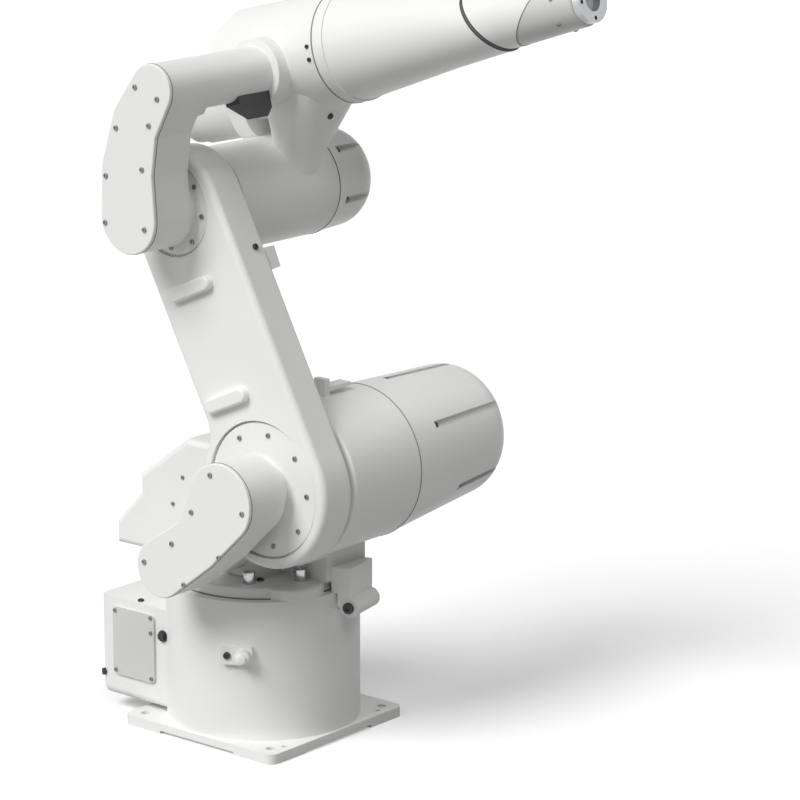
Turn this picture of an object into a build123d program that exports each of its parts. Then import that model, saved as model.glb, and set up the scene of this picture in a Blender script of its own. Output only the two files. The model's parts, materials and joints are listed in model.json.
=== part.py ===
from build123d import *
import math
import os

# Six-axis industrial robot arm with sealed castings and a three-roll wrist.
# Millimetres, +Z up, +X to the front, +Y to the motor side.
# The origin is on the first axis, at the underside of the base plate.

# Shared clearances
overrun = 4.0
running_gap = 0.3

# Base plate and column
plate_side = 304.0
plate_height = 16.0
plate_corner = 14.0
foot_hole_spacing = 256.0
foot_hole_radius = 7.0
pin_hole_x = 138.0
pin_hole_spacing = 216.0
pin_hole_radius = 4.0
relief_length = 150.0
relief_height = 5.0
relief_depth = 14.0
column_radius = 148.0
column_top = 232.0

# Connection box behind the column
box_rear = 234.0
box_width = 230.0
box_floor = 24.0
box_top = 183.0
box_corner = 14.0
side_cover_length = 86.0
side_cover_height = 108.0
side_cover_thickness = 4.0
side_cover_corner = 8.0
side_cover_setback = 160.0
side_cover_middle = 116.0
panel_width = 176.0
panel_height = 104.0
panel_thickness = 5.0
socket_radius = 26.0
socket_flange_length = 8.0
socket_cap_radius = 20.0
socket_length = 30.0
socket_edge = 3.0
socket_spacing = 84.0

# Purge port on the column
port_angle = -63.0
port_height = 151.0
port_plate_width = 50.0
port_plate_height = 28.0
port_plate_corner = 5.0
port_reach = 8.0
port_boss_radius = 12.0
port_boss_reach = 20.0
port_boss_offset = 12.0

# Turret
turret_radius = 132.0
turret_top = 250.0
turret_edge = 4.0
turret_boss_radius = 48.0
turret_boss_x = 97.0
turret_boss_y = -43.0
stop_turn = 12.0
stop_width = 70.0
stop_root = 110.0
stop_face = 170.0
stop_reach = 183.0
stop_clearance = 5.0
stop_boss_radius = 15.0
stop_boss_height = 212.0
stop_top = 272.0

# First-axis motor housing on the turret
motor_box_front = 46.0
motor_box_width = 124.0
motor_roof_height = 440.0
motor_roof_rear = 98.0
motor_slope_rear = 196.0
motor_slope_height = 370.0
motor_step_height = 340.0
motor_tail_rear = 248.0
motor_tail_height = 286.0
motor_box_edge = 10.0
turn_motor_radius = 22.0
turn_motor_height = 20.0
turn_motor_edge = 5.0

# Shoulder frame and drum
shoulder_x = 136.0
shoulder_z = 420.0
drum_radius = 117.0
frame_face = 78.0
frame_back = 72.0
frame_front = 143.0
frame_rear = 44.0
frame_edge = 5.0
notch_rear = 54.0
notch_top = 290.0
notch_depth = 62.0
drum_tip_radius = 100.0
drum_tip_forward = 7.0
drum_tip_rise = 12.0
drum_end = 309.0
drum_rounding = 46.0
drum_slot_width = 11.0
drum_slot_length = 183.0
drum_slot_depth = 9.0
slot_count = 6
drum_slot_turn = -0.5
tab_low = -22.0
tab_length = 58.0
tab_width = 22.0
tab_height = 26.0
tab_gap = 7.0
tab_plate = 6.0
tab_foot = 10.0

# Lower arm
arm_length = 430.0
arm_lean = 23.7
arm_clearance = 10.0
arm_thickness = 62.0
arm_low_radius = 119.0
arm_high_radius = 90.0
arm_rear_taper = 4.2
arm_low_blend = 60.0
arm_outer_edge = 10.0
arm_inner_edge = 6.0
ring_recess = 8.0
ring_margin = 3.0
ring_thickness = 5.0
ring_edge = 1.5
shoulder_ring_radius = 100.0
elbow_ring_radius = 68.0
shoulder_hub_radius = 98.0
elbow_hub_radius = 70.0
pad_length = 86.0
pad_width = 22.0
pad_thickness = 12.0
pad_edge = 4.0
pad_offset = -8.0
low_pad_along = 140.0
high_pad_setback = 119.0
dog_setback = 112.0
dog_length = 32.0
dog_rear = 66.0
dog_front = 96.0
dog_thickness = 20.0

# Cable conduits beside the arm
conduit_clearance = 16.0
conduit_depth = 70.0
lid_thickness = 6.0
lid_edge = 2.0
low_lobe_radius = 58.0
low_hub_radius = 47.0
low_bend_radius = 41.0
low_end_radius = 44.0
low_run_angle = 225.0
low_bend_shares = ((0.48, 0.09),)
low_tube_radius = 34.0
low_tube_clearance = 19.0
high_lobe_radius = 53.0
high_hub_radius = 45.0
high_bend_radii = (49.0, 43.0)
high_end_radius = 38.0
high_bend_shares = ((0.33, 0.09), (0.69, 0.10))
corner_radius = 30.0
corner_width = 56.0
tube_flange_radius = 50.0
tube_flange_thickness = 12.0

# Elbow
forearm_pitch = 13.5
forearm_y = 80.0
forearm_offset = 187.0
elbow_radius = 80.0
elbow_casting_end = 134.0
elbow_cover_radius = 79.0
elbow_cover_tip_radius = 75.0
elbow_cover_end = 238.0
elbow_cover_rounding = 46.0
elbow_slot_width = 12.0
elbow_slot_length = 85.0
elbow_slot_depth = 8.0
elbow_slot_turn = 0.0
roll_housing_radius = 84.0
roll_housing_rear = 6.0
roll_seam = 196.0
tube_along = 93.0
tube_drop = 13.0
port_face = 12.0
neck_low_side = 92.0
neck_low_along = 30.0
neck_low_y = 70.0
neck_mid_side = 94.0
neck_mid_along = 76.0
neck_mid_height = 70.0
neck_top_side = 112.0
neck_top_along = 94.0
neck_top_height = 102.0
neck_high_length = 160.0
neck_high_width = 124.0
neck_high_along = 104.0
neck_corner = 40.0
gearcase_thickness = 30.0
gearcase_drop = 70.0
gearcase_low_radius = 46.0
gearcase_high_radius = 70.0
roll_motor_radius = 36.0
roll_motor_length = 84.0
roll_motor_cap_length = 34.0
roll_motor_cap_radius = 33.0
roll_motor_rounding = 12.0
block_length = 28.0
block_ahead = 10.0
block_width = 66.0
block_drop = 28.0
block_slope_width = 40.0
block_slope_height = 24.0
block_heel = 12.0

# Forearm and wrist
collar_length = 20.0
collar_radius = 84.0
forearm_root_radius = 82.0
forearm_neck_along = 388.0
forearm_neck_radius = 60.0
bend_along = 469.0
bend_angle = 29.0
bend_radius = 55.0
seam_ring_length = 3.0
nose_setback = 38.0
nose_root_radius = 46.5
nose_seam_along = 558.0
nose_seam_angle = -40.0
nose_tip_radius = 35.0
nose_end = 638.0
nose_edge = 4.0
tool_flange_radius = 32.0
tool_flange_thickness = 12.0
tool_bolt_circle = 50.0
tool_bolt_count = 4
tool_bolt_radius = 3.0
tool_bore_radius = 16.0

# Planes across the arm, worked out from the frame face outwards
arm_inner = -(frame_face + arm_clearance)
arm_outer = arm_inner - arm_thickness
ring_floor = arm_outer + ring_recess
ring_face = ring_floor - ring_thickness
conduit_inner = arm_outer - conduit_clearance
conduit_outer = conduit_inner - conduit_depth
lid_face = conduit_outer - lid_thickness

# The lower conduit reaches past the arm's round end, so that its tube clears the arm
low_run = arm_low_radius + low_tube_radius + low_tube_clearance

# Places of the moving links
elbow_x = shoulder_x - arm_length * math.sin(math.radians(arm_lean))
elbow_z = shoulder_z + arm_length * math.cos(math.radians(arm_lean))
shoulder_place = Pos(shoulder_x, 0, shoulder_z)
arm_place = shoulder_place * Rot(0, -arm_lean, 0)
elbow_place = Pos(elbow_x, 0, elbow_z) * Rot(0, -forearm_pitch, 0)
forearm_place = elbow_place * Pos(0, forearm_y, forearm_offset)
bend_place = Pos(bend_along, 0, 0) * Rot(0, -bend_angle, 0)


def prism_x(outline, low, high):
    return extrude(Plane.YZ.offset(low) * outline, high - low)


def prism_y(outline, low, high):
    return extrude(Plane.XZ.offset(-high) * outline, high - low)


def prism_z(outline, low, high):
    return extrude(Plane.XY.offset(low) * outline, high - low)


def soften(solid, axis, end, radius):
    """Rounds the rim of the outermost face along an axis; end is 0 for the low face, -1 for the high."""
    return fillet(solid.faces().sort_by(axis)[end].edges(), radius)


def chain_outline(stations):
    """A bent, tapering outline through round stations given as (place, height, radius)."""
    circles = [Pos(x, z) * Circle(radius) for x, z, radius in stations]
    outline = Sketch()
    for first, second in zip(circles, circles[1:]):
        outline += make_hull(first.edges() + second.edges())
    return outline


def conduit_stations(run, angle, lobe_radius, bends, bend_radii, end_radius):
    """Stations from the lobe at the joint, through the bends, to the far end."""
    along = Vector(math.cos(math.radians(angle)), math.sin(math.radians(angle)))
    aside = Vector(-along.Y, along.X)
    stations = [(0, 0, lobe_radius)]
    for (along_share, aside_share), radius in zip(bends, bend_radii):
        point = along * (run * along_share) + aside * (run * aside_share)
        stations.append((point.X, point.Y, radius))
    stations.append((along.X * run, along.Y * run, end_radius))
    return stations


def base_casting():
    plate = prism_z(RectangleRounded(plate_side, plate_side, plate_corner), 0, plate_height)
    column = prism_z(Circle(column_radius), plate_height, column_top)
    box = prism_z(
        Pos(-box_rear / 2, 0) * RectangleRounded(box_rear, box_width, box_corner),
        box_floor,
        box_top,
    )
    box = fillet(box.faces().sort_by(Axis.Z)[0].edges().sort_by(Axis.X)[:3], box_corner)
    casting = plate + column + box
    for hole in GridLocations(foot_hole_spacing, foot_hole_spacing, 2, 2):
        casting -= hole * Pos(0, 0, plate_height / 2) * Cylinder(foot_hole_radius, plate_height + overrun)
    for hole in GridLocations(0, pin_hole_spacing, 1, 2):
        casting -= (
            Pos(pin_hole_x, 0, plate_height / 2)
            * hole
            * Cylinder(pin_hole_radius, plate_height + overrun)
        )
    relief = Pos(plate_side / 2, 0, relief_height / 2 - overrun / 2) * Box(
        2 * relief_depth, relief_length, relief_height + overrun
    )
    for turn in range(4):
        casting -= Rot(0, 0, 90 * turn) * relief
    return casting


def side_cover(side):
    outline = Pos(-side_cover_setback, side_cover_middle) * RectangleRounded(
        side_cover_length, side_cover_height, side_cover_corner
    )
    near = side * box_width / 2
    far = near + side * side_cover_thickness
    return prism_y(outline, min(near, far), max(near, far))


def connector_panel():
    middle = (box_floor + box_top) / 2
    return prism_x(
        Pos(0, middle) * RectangleRounded(panel_width, panel_height, side_cover_corner),
        -box_rear - panel_thickness,
        -box_rear,
    )


def socket(side):
    """A closed connector: a flange on the panel and a screwed cap."""
    middle = (box_floor + box_top) / 2
    root = -box_rear - panel_thickness
    place = Pos(side * socket_spacing / 2, middle)
    flange = prism_x(place * Circle(socket_radius), root - socket_flange_length, root)
    cap = prism_x(place * Circle(socket_cap_radius), root - socket_length, root)
    return flange + soften(cap, Axis.X, 0, socket_edge)


def purge_port():
    """A pressure fitting: a plate curved to the column with a round boss at one end."""
    outline = RectangleRounded(port_plate_width, port_plate_height, port_plate_corner)
    plate = prism_x(outline, 0, column_radius + port_reach)
    boss = prism_x(Pos(port_boss_offset, 0) * Circle(port_boss_radius), 0, column_radius + port_boss_reach)
    place = Pos(0, 0, port_height) * Rot(0, 0, port_angle)
    return place * (plate + boss) - Cylinder(column_radius, 4 * column_top)


def turret_casting():
    outline = Circle(turret_radius) + Pos(turret_boss_x, turret_boss_y) * Circle(turret_boss_radius)
    flange = prism_z(outline, column_top + running_gap, turret_top)
    return soften(flange, Axis.Z, -1, turret_edge)


def turret_stop():
    """A hook that hangs from the turret's rim in front of the column, with a round lower end."""
    outline = Pos((stop_root + stop_face) / 2, 0) * Rectangle(stop_face - stop_root, stop_width)
    block = prism_z(outline, stop_boss_height, stop_top)
    boss_place = Pos(stop_reach - stop_boss_radius, stop_boss_height)
    boss = prism_y(boss_place * Circle(stop_boss_radius), -stop_width / 2, stop_width / 2)
    stop = Rot(0, 0, stop_turn) * (block + boss)
    stop -= prism_z(Circle(column_radius + stop_clearance), 0, column_top + running_gap)
    frame_depth = 2 * (stop_top - turret_top)
    stop -= Pos(frame_front / 2, 0, turret_top) * Box(frame_front, 2 * stop_reach, frame_depth)
    return stop - prism_z(Circle(turret_radius), 0, turret_top) - turret_casting()


def motor_box():
    """Cast housing with a flat roof, a sloping back and a low tail."""
    outline = Polygon(
        (-motor_box_front, turret_top),
        (-motor_box_front, motor_roof_height),
        (-motor_roof_rear, motor_roof_height),
        (-motor_slope_rear, motor_slope_height),
        (-motor_slope_rear, motor_step_height),
        (-motor_tail_rear, motor_tail_height),
        (-motor_tail_rear, turret_top),
        align=None,
    )
    box = prism_y(outline, -motor_box_width / 2, motor_box_width / 2)
    return soften(soften(box, Axis.Y, 0, motor_box_edge), Axis.Y, -1, motor_box_edge)


def turn_motor():
    place = Pos(-(motor_box_front + motor_roof_rear) / 2, 0)
    top = motor_roof_height + turn_motor_height
    body = prism_z(place * Circle(turn_motor_radius), motor_roof_height, top)
    return soften(body, Axis.Z, -1, turn_motor_edge)


def shoulder_frame():
    drum = Pos(shoulder_x, shoulder_z) * Circle(drum_radius)
    foot = Vector(-frame_rear, turret_top)
    reach = Vector(shoulder_x, shoulder_z) - foot
    lean = math.atan2(reach.Y, reach.X)
    spread = math.asin(drum_radius / reach.length)
    run = math.sqrt(reach.length**2 - drum_radius**2)
    rear = foot + Vector(math.cos(lean + spread), math.sin(lean + spread)) * run
    web = Polygon(
        (-frame_rear, turret_top),
        (frame_front, turret_top),
        (frame_front, shoulder_z),
        (rear.X, rear.Y),
        align=None,
    )
    frame = soften(prism_y(drum + web, -frame_face, frame_back), Axis.Y, 0, frame_edge)
    notch = Pos((notch_rear + frame_front) / 2 + overrun, turret_top) * Rectangle(
        frame_front - notch_rear + 2 * overrun, 2 * (notch_top - turret_top)
    )
    return frame - prism_y(notch, -frame_face - overrun, notch_depth - frame_face)


def motor_cover(radii, shift, span, rounding, slot, turn):
    """A tapering drum cover along Y with a rounded end, whose tip may lie off the root's axis.

    Slots follow the taper and run out at the rounded end.
    """
    root_radius, tip_radius = radii
    low, high = span
    root = Plane.XZ.offset(-low) * Circle(root_radius)
    tip = Plane.XZ.offset(-high) * Pos(shift.X, shift.Z) * Circle(tip_radius)
    cover = soften(loft([root, tip]), Axis.Y, -1, rounding)
    width, length, depth = slot
    for index in range(slot_count):
        angle = math.radians(turn + 360 * index / slot_count)
        outward = Vector(math.sin(angle), 0, math.cos(angle))
        near = Vector(0, low, 0) + outward * root_radius
        far = Vector(0, high, 0) + shift + outward * tip_radius
        groove_plane = Plane(far, x_dir=far - near, z_dir=outward)
        cover -= groove_plane * Pos(-length / 2, 0, 0) * Box(length, width, 2 * depth)
    return cover


def shoulder_motor_cover():
    slot = (drum_slot_width, drum_slot_length, drum_slot_depth)
    radii = (drum_radius, drum_tip_radius)
    shift = Vector(drum_tip_forward, 0, drum_tip_rise)
    span = (frame_back, drum_end)
    return shoulder_place * motor_cover(radii, shift, span, drum_rounding, slot, drum_slot_turn)


def shoulder_tab():
    """A lug on top of the drum with a plate that stands clear of the drum."""
    top = drum_radius + tab_height
    lug = Pos(0, tab_low + tab_foot / 2, top / 2) * Box(tab_width, tab_foot, top)
    plate_middle = drum_radius + tab_gap + tab_plate / 2
    plate = Pos(0, tab_low + tab_length / 2, plate_middle) * Box(tab_width, tab_length, tab_plate)
    return shoulder_place * (lug + plate - prism_y(Circle(drum_radius), -frame_face, frame_back))


def lower_conduit_stations():
    return conduit_stations(
        low_run, low_run_angle, low_lobe_radius, low_bend_shares, (low_bend_radius,), low_end_radius
    )


def conduit_box(stations, hub_radius):
    """The bent box and the round hub that stands on the arm's ring."""
    box = prism_y(chain_outline(stations), conduit_outer, conduit_inner)
    return box + prism_y(Circle(hub_radius), conduit_inner, ring_face - running_gap)


def conduit_lid(stations):
    lid = prism_y(chain_outline(stations), lid_face, conduit_outer)
    return soften(lid, Axis.Y, 0, lid_edge)


def lower_conduit_box():
    return shoulder_place * conduit_box(lower_conduit_stations(), low_hub_radius)


def lower_conduit_lid():
    return shoulder_place * conduit_lid(lower_conduit_stations())


def lower_conduit_tube():
    x, z, radius = lower_conduit_stations()[-1]
    return shoulder_place * prism_y(Pos(x, z) * Circle(low_tube_radius), conduit_inner, -frame_face)


def arm_outline():
    """Round ends, a front edge tangent to both and a tapering rear edge blended into the lower end."""
    slope = math.asin((arm_low_radius - arm_high_radius) / arm_length)
    front = Vector(math.cos(slope), math.sin(slope))
    taper = math.radians(arm_rear_taper)
    rear = Vector(-math.cos(taper), -math.sin(taper))
    upward = Vector(-math.sin(taper), math.cos(taper))
    high_centre = Vector(0, arm_length)
    waist = arm_high_radius - arm_length * math.sin(taper)
    rise = math.sqrt((arm_low_radius + arm_low_blend) ** 2 - (waist + arm_low_blend) ** 2)
    blend_centre = rear * (waist + arm_low_blend) + upward * rise
    low_front = front * arm_low_radius
    high_front = high_centre + front * arm_high_radius
    high_rear = high_centre + rear * arm_high_radius
    blend_top = blend_centre - rear * arm_low_blend
    low_rear = blend_centre.normalized() * arm_low_radius
    edges = [
        Line(low_front, high_front),
        ThreePointArc(high_front, high_centre + Vector(0, arm_high_radius), high_rear),
        Line(high_rear, blend_top),
        blend_arc(blend_top, low_rear, blend_centre, arm_low_blend),
        ThreePointArc(low_rear, Vector(0, -arm_low_radius), low_front),
    ]
    return make_face(edges)


def blend_arc(start, end, centre, radius):
    """The short arc about a centre between two points."""
    middle = centre + ((start + end) / 2 - centre).normalized() * radius
    return ThreePointArc(start, middle, end)


def lower_arm_casting():
    casting = prism_y(arm_outline(), arm_outer, arm_inner)
    casting = soften(casting, Axis.Y, 0, arm_outer_edge)
    casting = soften(casting, Axis.Y, -1, arm_inner_edge)
    for radius, along in ((shoulder_ring_radius, 0), (elbow_ring_radius, arm_length)):
        casting -= prism_y(Pos(0, along) * Circle(radius + ring_margin), arm_outer - overrun, ring_floor)
    return arm_place * casting


def arm_hub(radius, along):
    return arm_place * Pos(0, 0, along) * prism_y(Circle(radius), arm_inner, -frame_face - running_gap)


def arm_ring(radius, along):
    ring = prism_y(Circle(radius), ring_face, ring_floor)
    return arm_place * Pos(0, 0, along) * soften(ring, Axis.Y, 0, ring_edge)


def cable_pad(along):
    pad = prism_y(
        Pos(pad_offset, along) * SlotOverall(pad_length, pad_width), arm_outer - pad_thickness, arm_outer
    )
    return arm_place * soften(pad, Axis.Y, 0, pad_edge)


def arm_dog():
    outline = Pos((dog_rear + dog_front) / 2, arm_length - dog_setback) * Rectangle(
        dog_front - dog_rear, dog_length
    )
    return arm_place * prism_y(outline, arm_inner, arm_inner + dog_thickness)


def upper_conduit_stations():
    rise = forearm_offset - tube_drop
    run = math.hypot(tube_along, rise)
    angle = math.degrees(math.atan2(rise, tube_along))
    return conduit_stations(
        run, angle, high_lobe_radius, high_bend_shares, high_bend_radii, high_end_radius
    )


def upper_conduit_box():
    return elbow_place * (conduit_box(upper_conduit_stations(), high_hub_radius) + corner_web())


def corner_web():
    """The rounded inside corner between the box and its crossing tube."""
    (bend_x, bend_z, _), (end_x, end_z, _) = upper_conduit_stations()[-2:]
    angle = math.degrees(math.atan2(bend_z - end_z, bend_x - end_x))
    place = Pos(end_x, conduit_inner, end_z) * Rot(0, -angle, 0)
    reach = high_end_radius + corner_radius
    block = Pos(reach / 2, corner_radius / 2, 0) * Box(reach, corner_radius, corner_width)
    hollow = Pos(reach, corner_radius, 0) * Cylinder(corner_radius, corner_width + overrun)
    return place * (block - hollow) - crossing_tube()


def crossing_tube():
    place = Pos(tube_along, forearm_offset - tube_drop)
    return prism_y(place * Circle(high_end_radius), conduit_inner, -port_face - tube_flange_thickness)


def upper_conduit_lid():
    return elbow_place * conduit_lid(upper_conduit_stations())


def upper_conduit_tube():
    return elbow_place * crossing_tube()


def tube_flange():
    place = Pos(tube_along, forearm_offset - tube_drop)
    flange = prism_y(place * Circle(tube_flange_radius), -port_face - tube_flange_thickness, -port_face)
    return elbow_place * soften(flange, Axis.Y, 0, ring_edge)


def elbow_neck():
    """A curved neck that leans forward from the drum and flares into the roll housing."""
    low = RectangleRounded(neck_low_side, neck_low_side, neck_corner)
    mid = RectangleRounded(neck_mid_side, neck_mid_side, neck_corner)
    top = RectangleRounded(neck_top_side, neck_top_side, neck_corner)
    high = RectangleRounded(neck_high_length, neck_high_width, neck_corner)
    return loft([
        Pos(neck_low_along, neck_low_y, 0) * low,
        Pos(neck_mid_along, forearm_y, neck_mid_height) * mid,
        Pos(neck_top_along, forearm_y, neck_top_height) * top,
        Pos(neck_high_along, forearm_y, forearm_offset) * high,
    ])


def elbow_casting():
    drum = prism_y(Circle(elbow_radius), -frame_face, elbow_casting_end)
    roll_axis = Pos(forearm_y, forearm_offset)
    housing = prism_x(roll_axis * Circle(roll_housing_radius), roll_housing_rear, roll_seam)
    gear_top = roll_axis * Circle(gearcase_high_radius)
    gear_low = Pos(forearm_y, forearm_offset - gearcase_drop) * Circle(gearcase_low_radius)
    gearcase = prism_x(
        make_hull(gear_top.edges() + gear_low.edges()),
        roll_housing_rear - gearcase_thickness,
        roll_housing_rear,
    )
    port = prism_y(
        Pos(tube_along, forearm_offset - tube_drop) * Circle(tube_flange_radius), -port_face, forearm_y
    )
    return elbow_place * (drum + elbow_neck() + housing + gearcase + port)


def elbow_motor_cover():
    slot = (elbow_slot_width, elbow_slot_length, elbow_slot_depth)
    radii = (elbow_cover_radius, elbow_cover_tip_radius)
    span = (elbow_casting_end, elbow_cover_end)
    no_shift = Vector(0, 0, 0)
    return elbow_place * motor_cover(radii, no_shift, span, elbow_cover_rounding, slot, elbow_slot_turn)


def roll_motor():
    face = roll_housing_rear - gearcase_thickness
    place = Pos(forearm_y, forearm_offset - gearcase_drop)
    return elbow_place * prism_x(place * Circle(roll_motor_radius), face - roll_motor_length, face)


def roll_motor_cap():
    face = roll_housing_rear - gearcase_thickness - roll_motor_length
    place = Pos(forearm_y, forearm_offset - gearcase_drop)
    cap = prism_x(place * Circle(roll_motor_cap_radius), face - roll_motor_cap_length, face)
    return elbow_place * soften(cap, Axis.X, 0, roll_motor_rounding)


def conduit_block():
    """A gland block under the crossing tube, beside its flange, with a long sloping front and a short heel."""
    axis_height = forearm_offset - tube_drop
    floor = axis_height - high_end_radius - block_drop
    back = -port_face - tube_flange_thickness
    front = back - block_width
    middle = tube_along + block_ahead
    outline = Polygon(
        (front, axis_height),
        (front, floor + block_slope_height),
        (front + block_slope_width, floor),
        (back - block_heel, floor),
        (back, floor + block_heel),
        (back, axis_height),
        align=None,
    )
    block = prism_x(outline, middle - block_length / 2, middle + block_length / 2)
    return elbow_place * (block - crossing_tube())


def forearm_collar():
    collar = prism_x(Circle(collar_radius), roll_seam + running_gap, roll_seam + collar_length)
    return forearm_place * collar


def forearm_tube():
    """A taper to the wrist and a slanted round end with a short ring at the seam."""
    root = Plane.YZ.offset(roll_seam + collar_length) * Circle(forearm_root_radius)
    neck = Plane.YZ.offset(forearm_neck_along) * Circle(forearm_neck_radius)
    bend = bend_place * (Plane.YZ.offset(-seam_ring_length) * Circle(bend_radius))
    ring = bend_place * prism_x(Circle(bend_radius), -seam_ring_length, 0)
    return forearm_place * (loft([root, neck]) + loft([neck, bend]) + ring)


def wrist_cone():
    """The taper that the wedge and the nose share."""
    root = Plane.YZ.offset(bend_along + nose_setback) * Circle(nose_root_radius)
    tip = Plane.YZ.offset(nose_end) * Circle(nose_tip_radius)
    return loft([root, tip])


def wrist_ahead():
    """A block that fills the space ahead of the slanted seam between the wedge and the nose."""
    length = 2 * nose_end
    place = Pos(nose_seam_along, 0, 0) * Rot(0, -nose_seam_angle, 0)
    return place * Pos(length / 2, 0, 0) * Box(length, length, length)


def wrist_wedge():
    """The wedge between the two slanted seams, with a short ring at the turning one."""
    ring_end = running_gap + seam_ring_length
    ring = bend_place * prism_x(Circle(bend_radius), running_gap, ring_end)
    bend = bend_place * (Plane.YZ.offset(ring_end) * Circle(bend_radius))
    nose = Plane.YZ.offset(bend_along + nose_setback) * Circle(nose_root_radius)
    return forearm_place * (ring + loft([bend, nose]) + (wrist_cone() - wrist_ahead()))


def wrist_nose():
    return forearm_place * soften(wrist_cone() & wrist_ahead(), Axis.X, -1, nose_edge)


def tool_flange():
    root = nose_end + running_gap
    face = root + tool_flange_thickness
    flange = prism_x(Circle(tool_flange_radius), root, face)
    flange -= prism_x(Circle(tool_bore_radius), root - overrun, face + overrun)
    for hole in PolarLocations(tool_bolt_circle / 2, tool_bolt_count):
        flange -= prism_x(hole * Circle(tool_bolt_radius), root - overrun, face + overrun)
    return forearm_place * flange


nodes = {
    "base_casting": base_casting(),
    "left_side_cover": side_cover(1),
    "right_side_cover": side_cover(-1),
    "connector_panel": connector_panel(),
    "power_socket": socket(1),
    "signal_socket": socket(-1),
    "purge_port": purge_port(),
    "turret_casting": turret_casting(),
    "turret_stop": turret_stop(),
    "motor_box": motor_box(),
    "turn_motor": turn_motor(),
    "shoulder_frame": shoulder_frame(),
    "shoulder_motor_cover": shoulder_motor_cover(),
    "shoulder_tab": shoulder_tab(),
    "lower_conduit_box": lower_conduit_box(),
    "lower_conduit_lid": lower_conduit_lid(),
    "lower_conduit_tube": lower_conduit_tube(),
    "lower_arm_casting": lower_arm_casting(),
    "shoulder_hub": arm_hub(shoulder_hub_radius, 0),
    "shoulder_ring": arm_ring(shoulder_ring_radius, 0),
    "elbow_hub": arm_hub(elbow_hub_radius, arm_length),
    "elbow_ring": arm_ring(elbow_ring_radius, arm_length),
    "low_cable_pad": cable_pad(low_pad_along),
    "high_cable_pad": cable_pad(arm_length - high_pad_setback),
    "arm_dog": arm_dog(),
    "elbow_casting": elbow_casting(),
    "elbow_motor_cover": elbow_motor_cover(),
    "upper_conduit_box": upper_conduit_box(),
    "upper_conduit_lid": upper_conduit_lid(),
    "upper_conduit_tube": upper_conduit_tube(),
    "tube_flange": tube_flange(),
    "conduit_block": conduit_block(),
    "roll_motor": roll_motor(),
    "roll_motor_cap": roll_motor_cap(),
    "forearm_collar": forearm_collar(),
    "forearm_tube": forearm_tube(),
    "wrist_wedge": wrist_wedge(),
    "wrist_nose": wrist_nose(),
    "tool_flange": tool_flange(),
}

os.makedirs("parts", exist_ok=True)
for name, solid in nodes.items():
    export_step(solid, f"parts/{name}.step")
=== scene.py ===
import json
import math

import bpy
from bpy.props import FloatProperty, FloatVectorProperty, PointerProperty
from mathutils import Matrix, Vector


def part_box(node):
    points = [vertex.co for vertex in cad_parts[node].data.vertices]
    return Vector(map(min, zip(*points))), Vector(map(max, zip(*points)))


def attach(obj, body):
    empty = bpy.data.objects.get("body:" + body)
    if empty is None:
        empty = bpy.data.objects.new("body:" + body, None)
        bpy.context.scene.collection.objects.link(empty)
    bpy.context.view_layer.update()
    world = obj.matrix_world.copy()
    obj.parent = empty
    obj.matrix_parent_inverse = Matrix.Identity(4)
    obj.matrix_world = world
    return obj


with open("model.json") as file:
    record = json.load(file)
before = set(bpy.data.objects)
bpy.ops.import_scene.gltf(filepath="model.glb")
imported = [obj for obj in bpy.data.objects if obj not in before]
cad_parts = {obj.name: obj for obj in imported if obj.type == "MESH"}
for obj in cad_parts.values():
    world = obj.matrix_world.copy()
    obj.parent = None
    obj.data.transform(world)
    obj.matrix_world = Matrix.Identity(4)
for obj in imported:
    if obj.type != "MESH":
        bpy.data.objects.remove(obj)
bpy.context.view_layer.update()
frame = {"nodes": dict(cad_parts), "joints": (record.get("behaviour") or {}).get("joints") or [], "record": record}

bl_info = {
    "name": "Industrial robot arm dressing",
    "version": (1, 1, 0),
    "blender": (4, 5, 0),
    "location": "View3D > Sidebar > Robot arm",
    "description": "Fasteners, seals, fittings, paint and studio for the sealed robot arm",
    "category": "Object",
}

MM = 0.001
JOINTS = {row["name"]: row for row in frame["joints"]}


def joint_point(name):
    """A point on a joint's axis, in millimetres."""
    return Vector(JOINTS[name]["pos_m"]) / MM


def joint_axis(name):
    return Vector(JOINTS[name]["axis"]).normalized()


def low(node):
    """The lowest corner of a CAD node, in millimetres."""
    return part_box(node)[0] / MM


def high(node):
    """The highest corner of a CAD node, in millimetres."""
    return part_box(node)[1] / MM


def middle(node):
    return (low(node) + high(node)) / 2


# Axes of the arm at rest, in millimetres
AHEAD = Vector((1, 0, 0))
ACROSS = Vector((0, 1, 0))
UP = Vector((0, 0, 1))
SHOULDER = joint_point("shoulder_swing")
ELBOW = joint_point("elbow_swing")
ROLL_SEAM = joint_point("forearm_roll")
BEND_SEAM = joint_point("wrist_roll")
ARM_LENGTH = (ELBOW - SHOULDER).length
ARM_ALONG = (ELBOW - SHOULDER).normalized()
ARM_AHEAD = Vector((ARM_ALONG.z, 0, -ARM_ALONG.x))
FOREARM_ALONG = joint_axis("forearm_roll")
FOREARM_UP = Vector((-FOREARM_ALONG.z, 0, FOREARM_ALONG.x))
BEND_ALONG = joint_axis("wrist_roll")

# Faces that carry small pieces, in millimetres
LID_FACE = low("lower_conduit_lid").y
LID_SEAM = high("lower_conduit_lid").y
RING_FACE = low("shoulder_ring").y
TURRET_TOP = high("turret_casting").z
COLUMN_TOP = joint_point("base_turn").z
BOX_WALL = low("left_side_cover").y
COVER_FACE = high("left_side_cover").y
PANEL_FACE = low("connector_panel").x
MOTOR_WALL = high("motor_box").y
DOG_FACE = high("arm_dog").y
BOX_TOP = 183

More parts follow.
